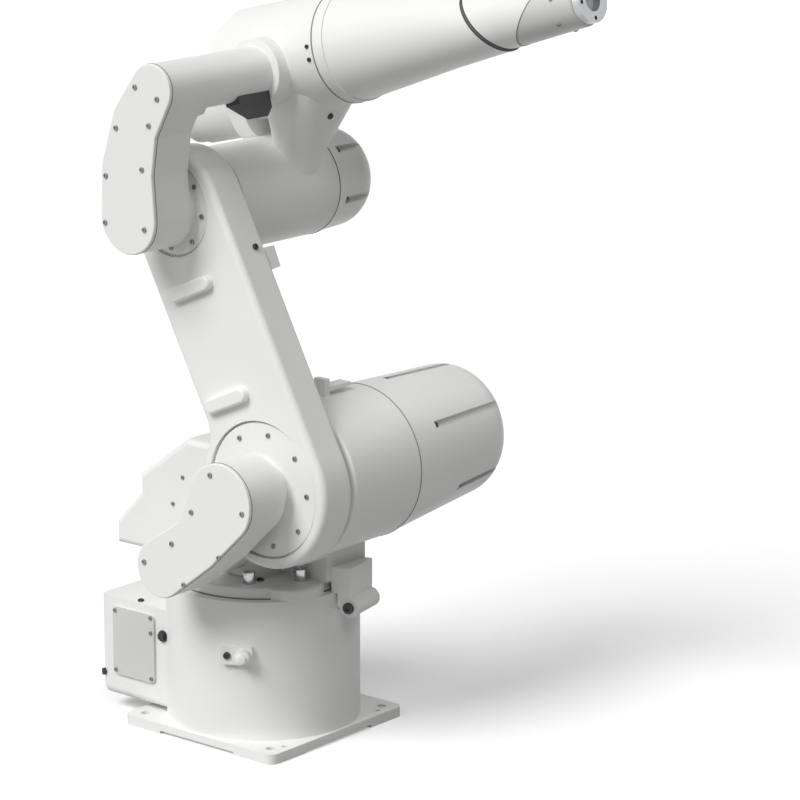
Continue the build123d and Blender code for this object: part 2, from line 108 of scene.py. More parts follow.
# Screws of flat faces, as two coordinates on the face
LOWER_LID_SCREWS = (
    (119, 459), (180, 412), (134, 338), (64, 284), (-15, 304), (41, 342), (81, 397),
)
UPPER_LID_SCREWS = (
    (-17, 1007), (26, 994), (-56, 944), (9, 954), (-78, 872), (-6, 889), (-81, 803), (-3, 802),
)
SIDE_COVER_SCREWS = ((-198, 164), (-198, 69), (-123, 166), (-123, 142), (-123, 69))
PANEL_SCREWS = ((-82, 57.5), (0, 57.5), (82, 57.5), (-82, 149.5), (0, 149.5), (82, 149.5))
MOTOR_WALL_SCREWS = ((-105, 379), (-126, 334))
TURRET_BOLTS = ((55.4, -91.5), (104, -31), (25.5, 103.9), (-55.4, 91.5), (-25.5, -103.9))

# Screw circles, as count, radius and first angle in degrees
SHOULDER_CIRCLE = (9, 84, 3)
ELBOW_CIRCLE = (8, 58, -4)
NOSE_CIRCLE = (6, 37.6, 222)
TURN_MOTOR_CIRCLE = (4, 11, 45)
NOSE_SCREWS_ALONG = 410

# Housing screws in pairs round the roll axis: angles of the pairs, half the angle in a pair
HOUSING_PAIRS = (0, 90, 180)
PAIR_SPREAD = 6.5
HOUSING_RADIUS = 84
HOUSING_SETBACK = 9

# Single screws, plugs and studs
EARTH_STUD = (-101, 141)
CORNER_KNOB = (Vector((-226.6, -113.3, 58.3)), Vector((-0.48, -0.88, 0)))
BOX_PLUG = Vector((-157, -104, BOX_TOP))
FLANGE_PLUG = Vector((59, -71, TURRET_TOP))
NECK_SCREW = (Vector((79.2, 69.7, 935.3)), Vector((0.9, 0, -0.44)))
ARM_EDGE_SCREW = (Vector((88.7, -108, 767.8)), Vector((0.89, 0, 0.46)))
DOG_AHEAD = 81
DOG_SETBACK = 112
DOG_PITCH = 8
STOP_ANGLE = 12
STOP_RADIUS = 168
STOP_HALF = 35
STOP_HEIGHT = 212
PORT_ANGLE = -63
PORT_HEIGHT = 151
PORT_PLUG = (168, 12)
PORT_VENT = (156, -14)
CONNECTOR_REACH = 12

# Knurled connector ring: outer and inner radius and height, then depth of the knurls
CONNECTOR_RING = (23.5, 19.8, 12)
KNURL_DEPTH = 0.8
RIM_SHARE = 0.99

# Seals: radius and width of each, depth into the seam, and how the lips lie beside their seam
TURN_SEAL = (133, 4)
ROLL_SEAL = (84, 2.4)
WRIST_LIP = (55, 3)
SHOULDER_SEAL = (117, 1.6)
ELBOW_SEAL = (80, 1.6)
SEAL_DEPTH = 3
ROLL_SEAL_SETBACK = 1
FOREARM_LIP_SETBACK = 3.2
WRIST_LIP_ADVANCE = 0.4

# Motor covers: root and tip radius, shift of the tip ahead and up,
# then length, depth and turn of the slots
SHOULDER_COVER = (117, 100, 7, 12, 183, 4.6, -0.5)
ELBOW_COVER = (79, 75, 0, 0, 85, 4.2, 0)
SLOT_COUNT = 6

# Round stations of the two conduit lids, as X, Z and radius in the frame of their joint
LOWER_LID_STATIONS = ((0, 0, 58), (-47.4, -69.3, 41), (-121.6, -121.6, 44))
UPPER_LID_STATIONS = ((0, 0, 53), (15.0, 65.8, 49), (46.8, 129.4, 43), (93, 174, 38))
LID_OVERLAP = 0.5

# Nose of the wrist: span and radii of its taper past the roll seam, place and slant of its joint
NOSE_SPAN = (311, 442)
NOSE_RADII = (46.5, 35)
NOSE_SEAM = 362
NOSE_SLANT = math.radians(40)

# Studio: suns as name, direction towards the sun, energy and softness in degrees
SUNS = (
    ("key", (-0.10, -0.68, 0.72), 2.45, 30),
    ("side", (-0.68, -0.68, 0.26), 0.38, 35),
    ("front", (0.55, -0.42, 0.72), 0.6, 30),
    ("rear", (0.32, 0.56, 0.77), 0.38, 35),
)
FILL_STRENGTH = 0.05
FILL_COLOUR = "#F8F8FA"
FLOOR_GLOW = "#ACACAC"
FLOOR_LIFT = 0.24
FLOOR_SIZE = 40
FLOOR_ROUGHNESS = 0.7
FLOOR_SPECULAR = 0.15
SUN_DISTANCE = 5

# Finishes: size of paint peel and metal grain, gloss of the paint,
# then lowest and highest roughness
PEEL_CAST = 2.4
PEEL_COVER = 1.6
PAINT_SPECULAR = 0.45
GRAIN_FINE = 0.5
GRAIN_COARSE = 0.9
SHEEN_CAST = (0.40, 0.52)
SHEEN_COVER = (0.32, 0.42)
SHEEN_PLATE = (0.38, 0.48)
SHEEN_MACHINED = (0.28, 0.4)
SHEEN_ZINC = (0.2, 0.32)
SHEEN_OXIDE = (0.42, 0.55)

# Camera fitted to the photograph, in degrees, metres and millimetres of lens
CAMERA_AZIMUTH = 39.86
CAMERA_ELEVATION = 14.03
CAMERA_DISTANCE = 5.5
CAMERA_RIGHT = 0.2086
CAMERA_HEIGHT = 0.5047
CAMERA_LENS = 164.88
CAMERA_SENSOR = 36
CAMERA_REACH = 100

# Shares of a screw head's radius, and of its height where the name says so
SCREW_FOOT_SHARE = 0.3
SCREW_RIM_SHARE = 0.28
SCREW_CROWN_SHARE = 0.07
SCREW_EDGE_SHARE = 0.08
FLAT_SCREW_SHARE = 0.6
SOCKET_SHARE = 0.5
SOCKET_DEPTH_SHARE = 0.8
SOCKET_FLOOR_HEIGHT_SHARE = 0.35
HEX_RIM_SHARE = 0.12
HEX_CROWN_HEIGHT_SHARE = 0.1
HEX_EDGE_SHARE = 0.05
WASHER_SHARE = 1.3
WASHER_FOOT_HEIGHT_SHARE = 0.3
WASHER_HEIGHT_SHARE = 0.24
RING_EDGE_SHARE = 0.25

# Sides of round blanks, and how far a normal leans on a top and on a side
SCREW_SIDES = 32
WASHER_SIDES = 40
TOOL_SIDES = 64
LID_SIDES = 96
RING_SIDES = 128
TOP_NORMAL = 0.9
SIDE_NORMAL = 0.2

# Edges sharper than the first angle are rounded, and than the second stay sharp in the shading
ROUND_ANGLE = math.radians(40)
SHARP_ANGLE = math.radians(35)


def srgb(code):
    """A linear colour from a hex sRGB code."""
    channels = [int(code[index:index + 2], 16) / 255 for index in (1, 3, 5)]
    linear = [c / 12.92 if c <= 0.04045 else ((c + 0.055) / 1.055) ** 2.4 for c in channels]
    return (*linear, 1.0)


def size_setting(name, description, default):
    return FloatProperty(name=name, description=description, default=default, unit="LENGTH")


def colour_setting(name, description, code):
    return FloatVectorProperty(
        name=name, description=description, subtype="COLOR", size=4, default=srgb(code)
    )


class ArmSizes(bpy.types.PropertyGroup):
    """Sizes of the small pieces on the arm."""

    lid_screw: size_setting("Lid screw", "Head radius of a lid screw", 0.0038)
    ring_screw: size_setting("Ring screw", "Head radius of a joint ring screw", 0.0037)
    cover_screw: size_setting("Cover screw", "Head radius of a cover screw", 0.0032)
    slot_screw: size_setting("Slot screw", "Head radius of a screw in a motor cover's slot", 0.0042)
    slot_screw_height: size_setting("Slot screw height", "Height of a slot screw's head", 0.00756)
    motor_screw: size_setting("Motor screw", "Head radius of a screw in a motor's end", 0.0026)
    turret_bolt: size_setting("Turret bolt", "Head radius of a turret bolt", 0.0095)
    turret_bolt_height: size_setting("Turret bolt height", "Height of a turret bolt's head", 0.018)
    flange_plug: size_setting("Flange plug", "Head radius of the plug beside the bolts", 0.005225)
    stop_screw: size_setting("Stop screw", "Head radius of the screws in the stop", 0.0085)
    stop_screw_height: size_setting("Stop screw height", "Height of a stop screw's head", 0.003995)
    earth_stud: size_setting("Earth stud", "Radius of the earth stud's hexagon", 0.00704)
    earth_stud_height: size_setting("Earth stud height", "Height of the earth stud", 0.00608)
    corner_knob: size_setting("Corner knob", "Radius of the knob at the box's corner", 0.00544)
    corner_knob_height: size_setting("Corner knob height", "Height of the corner knob", 0.00448)
    box_plug: size_setting("Box plug", "Radius of the plug on the box", 0.0048)
    box_plug_height: size_setting("Box plug height", "Height of the box plug", 0.00288)
    purge_plug: size_setting("Purge plug", "Radius of the purge port's hexagon", 0.00848)
    purge_plug_height: size_setting("Purge plug height", "Height of the purge plug", 0.00608)
    purge_vent: size_setting("Purge vent", "Head radius of the vent beside the purge plug", 0.00544)
    dog_screw: size_setting("Dog screw", "Head radius of a stop dog's screw", 0.00384)
    edge_screw: size_setting("Edge screw", "Head radius of the lone screws on arm and neck", 0.0048)
    gasket: size_setting("Gasket", "Thickness of the gasket under a lid", 0.0012)
    lip: size_setting("Lip", "How far a lip seal stands out of its seam", 0.0008)


class ArmColours(bpy.types.PropertyGroup):
    """Colours of the arm's materials."""

    paint: colour_setting("White paint", "Satin paint on the castings", "#EFEFED")
    panel: colour_setting("Grey paint", "Paint on plates and motors", "#D2D2D0")
    rubber: colour_setting("Rubber", "Seals and gaskets", "#8C8C8E")
    # Real wiper lips at the wrist seam, coloured dark to also paint the shade of the groove there
    shaded_lip: colour_setting("Boot", "Dark wiper lips of the wrist", "#4A4A4D")
    plastic: colour_setting("Plastic", "Connector bodies", "#3A3A3D")
    steel: colour_setting("Steel", "Machined faces", "#C4C5C7")
    oxide: colour_setting("Oxide", "Grey oxide on the small screws", "#8A8A8E")
    black: colour_setting("Black", "Blackened plugs and larger screws", "#46464A")
    floor: colour_setting("Floor", "Studio floor", "#FAFAFA")


# Materials


def add_node(tree, kind, **inputs):
    """Adds a node; an input is a value or another node's output."""
    node = tree.nodes.new(kind)
    for name, value in inputs.items():
        socket = node.inputs[name.replace("_", " ")]
        if isinstance(value, bpy.types.NodeSocket):
            tree.links.new(value, socket)
        else:
            socket.default_value = value
    return node


def blank_material(name):
    material = bpy.data.materials.new(name)
    material.use_nodes = True
    tree = material.node_tree
    shader = tree.nodes["Principled BSDF"]
    place = add_node(tree, "ShaderNodeTexCoord").outputs["Object"]
    return material, tree, shader, place


def noise(tree, place, size_mm, detail):
    """Noise whose patches are about the given size."""
    scale = 1 / (size_mm * MM)
    texture = add_node(tree, "ShaderNodeTexNoise", Vector=place, Scale=scale, Detail=detail)
    return texture.outputs["Fac"]


def spread(tree, value, lowest, highest):
    """Maps noise to a range."""
    mapped = add_node(
        tree,
        "ShaderNodeMapRange",
        Value=value,
        From_Min=0.3,
        From_Max=0.7,
        To_Min=lowest,
        To_Max=highest,
    )
    return mapped.outputs["Result"]


def tint(tree, colour, shade, share):
    """Mixes a darker or lighter shade into a colour by a share that varies over the surface."""
    mix = tree.nodes.new("ShaderNodeMix")
    mix.data_type = "RGBA"
    tree.links.new(share, mix.inputs["Factor"])
    mix.inputs["A"].default_value = colour
    mix.inputs["B"].default_value = tuple(c * shade for c in colour[:3]) + (1.0,)
    return mix.outputs["Result"]


def bump(tree, height, strength, distance_mm):
    depth = distance_mm * MM
    relief = add_node(tree, "ShaderNodeBump", Strength=strength, Distance=depth, Height=height)
    return relief.outputs["Normal"]


def dust(tree, place):
    """A share of settled dust: patchy, and only on faces that look up."""
    normal = tree.nodes.new("ShaderNodeNewGeometry").outputs["Normal"]
    height = add_node(tree, "ShaderNodeSeparateXYZ", Vector=normal).outputs["Z"]
    upward = add_node(
        tree, "ShaderNodeMapRange", Value=height, From_Min=0.6, From_Max=1.0, To_Max=0.5
    )
    patches = noise(tree, place, size_mm=22, detail=5)
    share = tree.nodes.new("ShaderNodeMath")
    share.operation = "MULTIPLY"
    tree.links.new(spread(tree, patches, lowest=0.0, highest=0.5), share.inputs[0])
    tree.links.new(upward.outputs["Result"], share.inputs[1])
    return share.outputs["Value"]


def paint(name, colour, peel_mm, lowest, highest):
    """Sprayed satin paint: soft sheen, orange peel, slow changes of tone, dust on top faces."""
    material, tree, shader, place = blank_material(name)
    patches = noise(tree, place, size_mm=140, detail=3)
    peel = noise(tree, place, peel_mm, detail=2)
    share = tree.nodes.new("ShaderNodeMath")
    share.operation = "ADD"
    tree.links.new(dust(tree, place), share.inputs[0])
    tree.links.new(spread(tree, patches, lowest=0.0, highest=0.35), share.inputs[1])
    shaded = tint(tree, colour, shade=0.94, share=share.outputs["Value"])
    relief = bump(tree, peel, strength=0.12, distance_mm=0.15)
    tree.links.new(shaded, shader.inputs["Base Color"])
    tree.links.new(spread(tree, patches, lowest, highest), shader.inputs["Roughness"])
    tree.links.new(relief, shader.inputs["Normal"])
    shader.inputs["Specular IOR Level"].default_value = PAINT_SPECULAR
    return material


def rubber(name, colour):
    """Matt sealing rubber: dark, soft-edged shine and a fine grain."""
    material, tree, shader, place = blank_material(name)
    cloud = noise(tree, place, size_mm=6, detail=4)
    bloom = noise(tree, place, size_mm=3, detail=3)
    grain = noise(tree, place, size_mm=0.8, detail=2)
    relief = bump(tree, grain, strength=0.2, distance_mm=0.1)
    tree.links.new(tint(tree, colour, shade=0.7, share=cloud), shader.inputs["Base Color"])
    tree.links.new(spread(tree, bloom, lowest=0.62, highest=0.8), shader.inputs["Roughness"])
    tree.links.new(relief, shader.inputs["Normal"])
    return material


def plastic(name, colour):
    """Moulded plastic: even dark tone with a fine moulded texture."""
    material, tree, shader, place = blank_material(name)
    cloud = noise(tree, place, size_mm=10, detail=3)
    handling = noise(tree, place, size_mm=2, detail=3)
    grain = noise(tree, place, size_mm=0.6, detail=2)
    relief = bump(tree, grain, strength=0.15, distance_mm=0.08)
    tree.links.new(tint(tree, colour, shade=1.25, share=cloud), shader.inputs["Base Color"])
    tree.links.new(spread(tree, handling, lowest=0.4, highest=0.55), shader.inputs["Roughness"])
    tree.links.new(relief, shader.inputs["Normal"])
    return material


def metal(name, colour, lowest, highest, grain_mm):
    """Machined or plated metal: clear reflections broken by fine tool marks and slight tarnish."""
    material, tree, shader, place = blank_material(name)
    tarnish = noise(tree, place, size_mm=12, detail=4)
    handling = noise(tree, place, size_mm=5, detail=4)
    marks = noise(tree, place, grain_mm, detail=2)
    relief = bump(tree, marks, strength=0.1, distance_mm=0.05)
    shader.inputs["Metallic"].default_value = 1.0
    tree.links.new(tint(tree, colour, shade=0.78, share=tarnish), shader.inputs["Base Color"])
    tree.links.new(spread(tree, handling, lowest, highest), shader.inputs["Roughness"])
    tree.links.new(relief, shader.inputs["Normal"])
    return material


def material(name):
    """One of the arm's materials, made on first use from the colours in the panel."""
    if name in bpy.data.materials:
        return bpy.data.materials[name]
    colours = bpy.context.scene.arm_colours
    makers = {
        "cast_white_paint": lambda: paint(name, tuple(colours.paint), PEEL_CAST, *SHEEN_CAST),
        "cover_white_paint": lambda: paint(name, tuple(colours.paint), PEEL_COVER, *SHEEN_COVER),
        "plate_grey_paint": lambda: paint(name, tuple(colours.panel), PEEL_COVER, *SHEEN_PLATE),
        "seal_rubber": lambda: rubber(name, tuple(colours.rubber)),
        # Dark lip rubber: real lips, darkened as painted shade of the wrist seam's groove
        "shaded_wiper_rubber": lambda: rubber(name, tuple(colours.shaded_lip)),
        "connector_plastic": lambda: plastic(name, tuple(colours.plastic)),
        "machined_steel": lambda: metal(name, tuple(colours.steel), *SHEEN_MACHINED, GRAIN_FINE),
        "bright_zinc": lambda: metal(name, tuple(colours.steel), *SHEEN_ZINC, GRAIN_COARSE),
        "oxide_steel": lambda: metal(name, tuple(colours.oxide), *SHEEN_OXIDE, GRAIN_COARSE),
        "black_steel": lambda: metal(name, tuple(colours.black), *SHEEN_OXIDE, GRAIN_COARSE),
    }
    return makers[name]()


# Modelling


def deselect():
    bpy.ops.object.select_all(action="DESELECT")


def named(name):
    """The object that the last operator made, under its own name."""
    piece = bpy.context.active_object
    if piece is None:
        raise RuntimeError(f"nothing was made for {name}")
    piece.name = name
    return piece


def pick_faces(piece, test):
    """Selects in edit mode the faces that pass a test."""
    bpy.ops.object.mode_set(mode="EDIT")
    bpy.ops.mesh.select_mode(type="FACE")
    bpy.ops.mesh.select_all(action="DESELECT")
    bpy.ops.object.mode_set(mode="OBJECT")
    for face in piece.data.polygons:
        face.select = test(face)
    bpy.ops.object.mode_set(mode="EDIT")


def apply_modifier(piece, kind, **settings):
    modifier = piece.modifiers.new(kind.lower(), kind)
    for name, value in settings.items():
        setattr(modifier, name, value)
    bpy.context.view_layer.objects.active = piece
    bpy.ops.object.modifier_apply(modifier=modifier.name)


def round_edges(piece, width):
    apply_modifier(
        piece, "BEVEL", width=width, segments=2, limit_method="ANGLE", angle_limit=ROUND_ANGLE
    )


def combine(piece, tool, operation):
    """Adds a tool to a piece, cuts it out or keeps what they share, and deletes the tool."""
    apply_modifier(piece, "BOOLEAN", object=tool, operation=operation, solver="EXACT")
    bpy.data.objects.remove(tool)


def settled(name):
    """The last object with its place and turn moved into its mesh."""
    bpy.ops.object.transform_apply(location=True, rotation=True, scale=True)
    return named(name)


def drum(name, radius, bottom, top, sides=SCREW_SIDES):
    """A round or many-sided blank on Z from bottom to top."""
    deselect()
    bpy.ops.mesh.primitive_cylinder_add(
        vertices=sides, radius=radius, depth=top - bottom, location=(0, 0, (bottom + top) / 2)
    )
    return settled(name)


def socket_screw(name, radius, height):
    """A screw head on z = 0 with a rounded rim, a raised top and a hexagonal socket."""
    head = drum(name, radius, -radius * SCREW_FOOT_SHARE, height)
    pick_faces(head, lambda face: face.normal.z > TOP_NORMAL)
    bpy.ops.mesh.inset(thickness=radius * SCREW_RIM_SHARE)
    bpy.ops.transform.translate(value=(0, 0, radius * SCREW_CROWN_SHARE))
    bpy.ops.object.mode_set(mode="OBJECT")
    floor = max(height * SOCKET_FLOOR_HEIGHT_SHARE, height - radius * SOCKET_DEPTH_SHARE)
    socket = drum("socket_tool", radius * SOCKET_SHARE, floor, height + radius, sides=6)
    combine(head, socket, "DIFFERENCE")
    round_edges(head, radius * SCREW_EDGE_SHARE)
    return head


def flat_screw(name, radius):
    """A low socket screw."""
    return socket_screw(name, radius, radius * FLAT_SCREW_SHARE)


def hex_bolt(name, radius, height):
    """A hexagon bolt head on a washer, with its corners turned off."""
    head = drum(name, radius, 0, height, sides=6)
    pick_faces(head, lambda face: face.normal.z > TOP_NORMAL)
    bpy.ops.mesh.inset(thickness=radius * HEX_RIM_SHARE)
    bpy.ops.transform.translate(value=(0, 0, height * HEX_CROWN_HEIGHT_SHARE))
    bpy.ops.object.mode_set(mode="OBJECT")
    foot, top = -height * WASHER_FOOT_HEIGHT_SHARE, height * WASHER_HEIGHT_SHARE
    washer = drum("washer_tool", radius * WASHER_SHARE, foot, top, sides=WASHER_SIDES)
    combine(head, washer, "UNION")
    round_edges(head, radius * HEX_EDGE_SHARE)
    return head


def lip_ring(name, outer, inner, height):
    """A flat ring round Z from z = 0 up, with rounded rims."""
    deselect()
    bpy.ops.mesh.primitive_circle_add(vertices=RING_SIDES, radius=inner, fill_type="NOTHING")
    ring = named(name)
    bpy.ops.object.mode_set(mode="EDIT")
    bpy.ops.mesh.select_mode(type="EDGE")
    bpy.ops.mesh.select_all(action="SELECT")
    bpy.ops.mesh.extrude_region_move()
    bpy.ops.transform.resize(value=(outer / inner, outer / inner, 1))
    bpy.ops.mesh.select_all(action="SELECT")
    bpy.ops.mesh.extrude_region_move(TRANSFORM_OT_translate={"value": (0, 0, height)})
    bpy.ops.mesh.select_all(action="SELECT")
    bpy.ops.mesh.normals_make_consistent(inside=False)
    bpy.ops.object.mode_set(mode="OBJECT")
    round_edges(ring, min(height, outer - inner) * RING_EDGE_SHARE)
    return ring


def hull_link(name, pair, front, back):
    """A plate across Y wrapped round two stations."""
    deselect()
    rounds = []
    for x, z, radius in pair:
        bpy.ops.mesh.primitive_cylinder_add(
            vertices=LID_SIDES,
            radius=radius * MM,
            depth=back - front,
            location=(x * MM, (front + back) / 2, z * MM),
            rotation=(math.pi / 2, 0, 0),
        )
        rounds.append(bpy.context.active_object)
    for piece in rounds:
        piece.select_set(True)
    bpy.ops.object.join()
    link = settled(name)
    bpy.ops.object.mode_set(mode="EDIT")
    bpy.ops.mesh.select_all(action="SELECT")
    bpy.ops.mesh.convex_hull()
    bpy.ops.object.mode_set(mode="OBJECT")
    return link


def hull_plate(name, stations, front, back):
    """A plate across Y through round stations, wrapped pair by pair and joined."""
    plate, *others = [hull_link(name, pair, front, back) for pair in zip(stations, stations[1:])]
    for link in others:
        combine(plate, link, "UNION")
    return plate


def finish_piece(piece, name, body, finish):
    """Names, paints and smooths a piece, and lets it ride on its body."""
    piece.name = name
    piece.data.materials.clear()
    piece.data.materials.append(material(finish))
    deselect()
    piece.select_set(True)
    bpy.context.view_layer.objects.active = piece
    bpy.ops.object.shade_smooth_by_angle(angle=SHARP_ANGLE)
    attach(piece, body)


def settle(model, name, places, body, finish):
    """Puts a copy of a model, with its own mesh, at each place, and deletes the model."""
    model.name = "model"
    for index, place in enumerate(places):
        mesh = model.data.copy()
        mesh.transform(place)
        piece = bpy.data.objects.new(name, mesh)
        bpy.context.collection.objects.link(piece)
        finish_piece(piece, f"{name}_{index + 1:02d}", body, finish)
    bpy.data.objects.remove(model)


# Places


def facing(point, direction, turn=0.0):
    """A place at a point in millimetres whose Z looks along a direction."""
    toward = Vector(direction).normalized().to_track_quat("Z", "Y").to_matrix().to_4x4()
    return Matrix.Translation(Vector(point) * MM) @ toward @ Matrix.Rotation(turn, 4, "Z")


def on_elbow(along, across, up):
    """A point in the frame of the elbow joint."""
    return ELBOW + FOREARM_ALONG * along + ACROSS * across + FOREARM_UP * up


def on_roll_axis(along):
    """A point on the forearm's axis, past the roll seam."""
    return ROLL_SEAM + FOREARM_ALONG * along


def on_arm(ahead, across, along):
    """A point in the frame of the lower arm, from the shoulder axis."""
    return SHOULDER + ARM_AHEAD * ahead + ACROSS * across + ARM_ALONG * along


def around(angle, first, second):
    """A direction at an angle in degrees from a first axis towards a second."""
    return first * math.cos(math.radians(angle)) + second * math.sin(math.radians(angle))


def circle(centre, row, first, second):
    """Points on a screw circle."""
    count, radius, start = row
    angles = [start + 360 * index / count for index in range(count)]
    return [centre + around(angle, first, second) * radius for angle in angles]


class ARM_OT_paint(bpy.types.Operator):
    """Paint, metal and plastic on the pieces that come from the CAD model"""

    bl_idname = "arm.paint"
    bl_label = "Paint"

    finishes = {
        "white_paint": "cast_white_paint",
        "grey_paint": "plate_grey_paint",
        "dark_plastic": "connector_plastic",
        "steel": "machined_steel",
    }
    special = {
        "shoulder_motor_cover": "cover_white_paint",
        "elbow_motor_cover": "cover_white_paint",
        "lower_conduit_lid": "cover_white_paint",
        "upper_conduit_lid": "cover_white_paint",
        "left_side_cover": "plate_grey_paint",
        "right_side_cover": "plate_grey_paint",
    }

    def execute(self, context):
        for row in frame["record"]["subparts"]:
            node = frame["nodes"][row["node"]]
            finish = self.special.get(row["node"], self.finishes[row["material_slot"]])
            if not node.material_slots:
                node.data.materials.append(None)
            for slot in node.material_slots:
                slot.material = material(finish)
        return {"FINISHED"}


class ARM_OT_lid_screws(bpy.types.Operator):
    """Screws round both conduit lids"""

    bl_idname = "arm.lid_screws"
    bl_label = "Lid screws"

    def execute(self, context):
        radius = context.scene.arm_sizes.lid_screw
        rows = (
            ("lower_lid_screw", LOWER_LID_SCREWS, "turret"),
            ("upper_lid_screw", UPPER_LID_SCREWS, "elbow"),
        )
        for name, spots, body in rows:
            places = [facing((x, LID_FACE, z), -ACROSS, x) for x, z in spots]
            settle(flat_screw(name, radius), name, places, body, "oxide_steel")
        return {"FINISHED"}


class ARM_OT_ring_screws(bpy.types.Operator):
    """Screws in the round discs of the shoulder and the elbow"""

    bl_idname = "arm.ring_screws"
    bl_label = "Ring screws"

    def execute(self, context):
        radius = context.scene.arm_sizes.ring_screw
        rows = (
            ("shoulder_ring_screw", SHOULDER, SHOULDER_CIRCLE),
            ("elbow_ring_screw", ELBOW, ELBOW_CIRCLE),
        )
        for name, centre, row in rows:
            spots = circle(centre + ACROSS * RING_FACE, row, AHEAD, UP)
            places = [facing(spot, -ACROSS, spot.x) for spot in spots]
            settle(flat_screw(name, radius), name, places, "lower_arm", "oxide_steel")
        return {"FINISHED"}


class ARM_OT_slot_screws(bpy.types.Operator):
    """Screws that lie at the inner ends of the slots in both motor covers"""

    bl_idname = "arm.slot_screws"
    bl_label = "Slot screws"

    def execute(self, context):
        sizes = context.scene.arm_sizes
        shoulder = self.places("shoulder_motor_cover", SHOULDER, AHEAD, UP, SHOULDER_COVER)
        elbow = self.places("elbow_motor_cover", ELBOW, FOREARM_ALONG, FOREARM_UP, ELBOW_COVER)
        rows = (("shoulder_slot_screw", shoulder, "turret"), ("elbow_slot_screw", elbow, "elbow"))
        for name, places, body in rows:
            screw = socket_screw(name, sizes.slot_screw, sizes.slot_screw_height)
            settle(screw, name, places, body, "black_steel")
        return {"FINISHED"}

    def places(self, node, centre, ahead, up, cover):
        """Places at the inner ends of the slots, looking out along them."""
        root_radius, tip_radius, shift_ahead, shift_up, length, depth, turn = cover
        root = centre + ACROSS * low(node).y
        tip = centre + ACROSS * high(node).y + ahead * shift_ahead + up * shift_up
        places = []
        for index in range(SLOT_COUNT):
            outward = around(turn + 360 * index / SLOT_COUNT, up, ahead)
            far = tip + outward * tip_radius
            along = (far - root - outward * root_radius).normalized()
            places.append(facing(far - along * length - outward * depth, along))
        return places


class ARM_OT_turret_bolts(bpy.types.Operator):
    """Tall bolts round the turret flange, a plug beside them and the screws of its stop"""

    bl_idname = "arm.turret_bolts"
    bl_label = "Turret bolts"

    def execute(self, context):
        sizes = context.scene.arm_sizes
        bolt = socket_screw("turret_bolt", sizes.turret_bolt, sizes.turret_bolt_height)
        places = [facing((x, y, TURRET_TOP), UP, x) for x, y in TURRET_BOLTS]
        settle(bolt, "turret_bolt", places, "turret", "bright_zinc")
        plug = flat_screw("flange_plug", sizes.flange_plug)
        settle(plug, "flange_plug", [facing(FLANGE_PLUG, UP)], "turret", "black_steel")
        outward = around(STOP_ANGLE, AHEAD, ACROSS)
        aside = around(STOP_ANGLE, ACROSS, -AHEAD)
        centre = outward * STOP_RADIUS + UP * STOP_HEIGHT
        ends = [facing(centre + aside * STOP_HALF * side, aside * side) for side in (-1, 1)]
        screw = socket_screw("stop_screw", sizes.stop_screw, sizes.stop_screw_height)
        settle(screw, "stop_screw", ends, "turret", "black_steel")
        return {"FINISHED"}


class ARM_OT_box_screws(bpy.types.Operator):
    """Screws of the side covers and the connector panel, earth stud, corner knob and plug"""

    bl_idname = "arm.box_screws"
    bl_label = "Connection box screws"

    def execute(self, context):
        sizes = context.scene.arm_sizes
        covers = [
            facing((x, side * COVER_FACE, z), ACROSS * side, z)
            for side in (-1, 1) for x, z in SIDE_COVER_SCREWS
        ]
        screw = flat_screw("cover_screw", sizes.cover_screw)
        settle(screw, "cover_screw", covers, "base", "oxide_steel")
        panel = [facing((PANEL_FACE, y, z), -AHEAD, y) for y, z in PANEL_SCREWS]
        screw = flat_screw("panel_screw", sizes.cover_screw)
        settle(screw, "panel_screw", panel, "base", "oxide_steel")
        place = facing((EARTH_STUD[0], -BOX_WALL, EARTH_STUD[1]), -ACROSS)
        stud = hex_bolt("earth_stud", sizes.earth_stud, sizes.earth_stud_height)
        settle(stud, "earth_stud", [place], "base", "black_steel")
        knob = socket_screw("corner_knob", sizes.corner_knob, sizes.corner_knob_height)
        settle(knob, "corner_knob", [facing(*CORNER_KNOB)], "base", "black_steel")
        plug = socket_screw("box_plug", sizes.box_plug, sizes.box_plug_height)
        settle(plug, "box_plug", [facing(BOX_PLUG, UP)], "base", "black_steel")
        return {"FINISHED"}


class ARM_OT_connectors(bpy.types.Operator):
    """Knurled rings on the two connectors at the back"""

    bl_idname = "arm.connectors"
    bl_label = "Connectors"

    def execute(self, context):
        outer, inner, height = (size * MM for size in CONNECTOR_RING)
        ring = lip_ring("connector_ring", outer, inner, height)
        pick_faces(ring, lambda face: face.index % 2 and self.on_rim(face, outer))
        bpy.ops.mesh.extrude_faces_move(TRANSFORM_OT_shrink_fatten={"value": KNURL_DEPTH * MM})
        bpy.ops.object.mode_set(mode="OBJECT")
        sockets = [middle(node) for node in ("power_socket", "signal_socket")]
        back = PANEL_FACE - CONNECTOR_REACH
        places = [facing((back, spot.y, spot.z), -AHEAD) for spot in sockets]
        settle(ring, "connector_ring", places, "base", "machined_steel")
        return {"FINISHED"}

    def on_rim(self, face, outer):
        """Whether a face of the ring belongs to its outer wall."""
        return face.center.xy.length > outer * RIM_SHARE and abs(face.normal.z) < SIDE_NORMAL


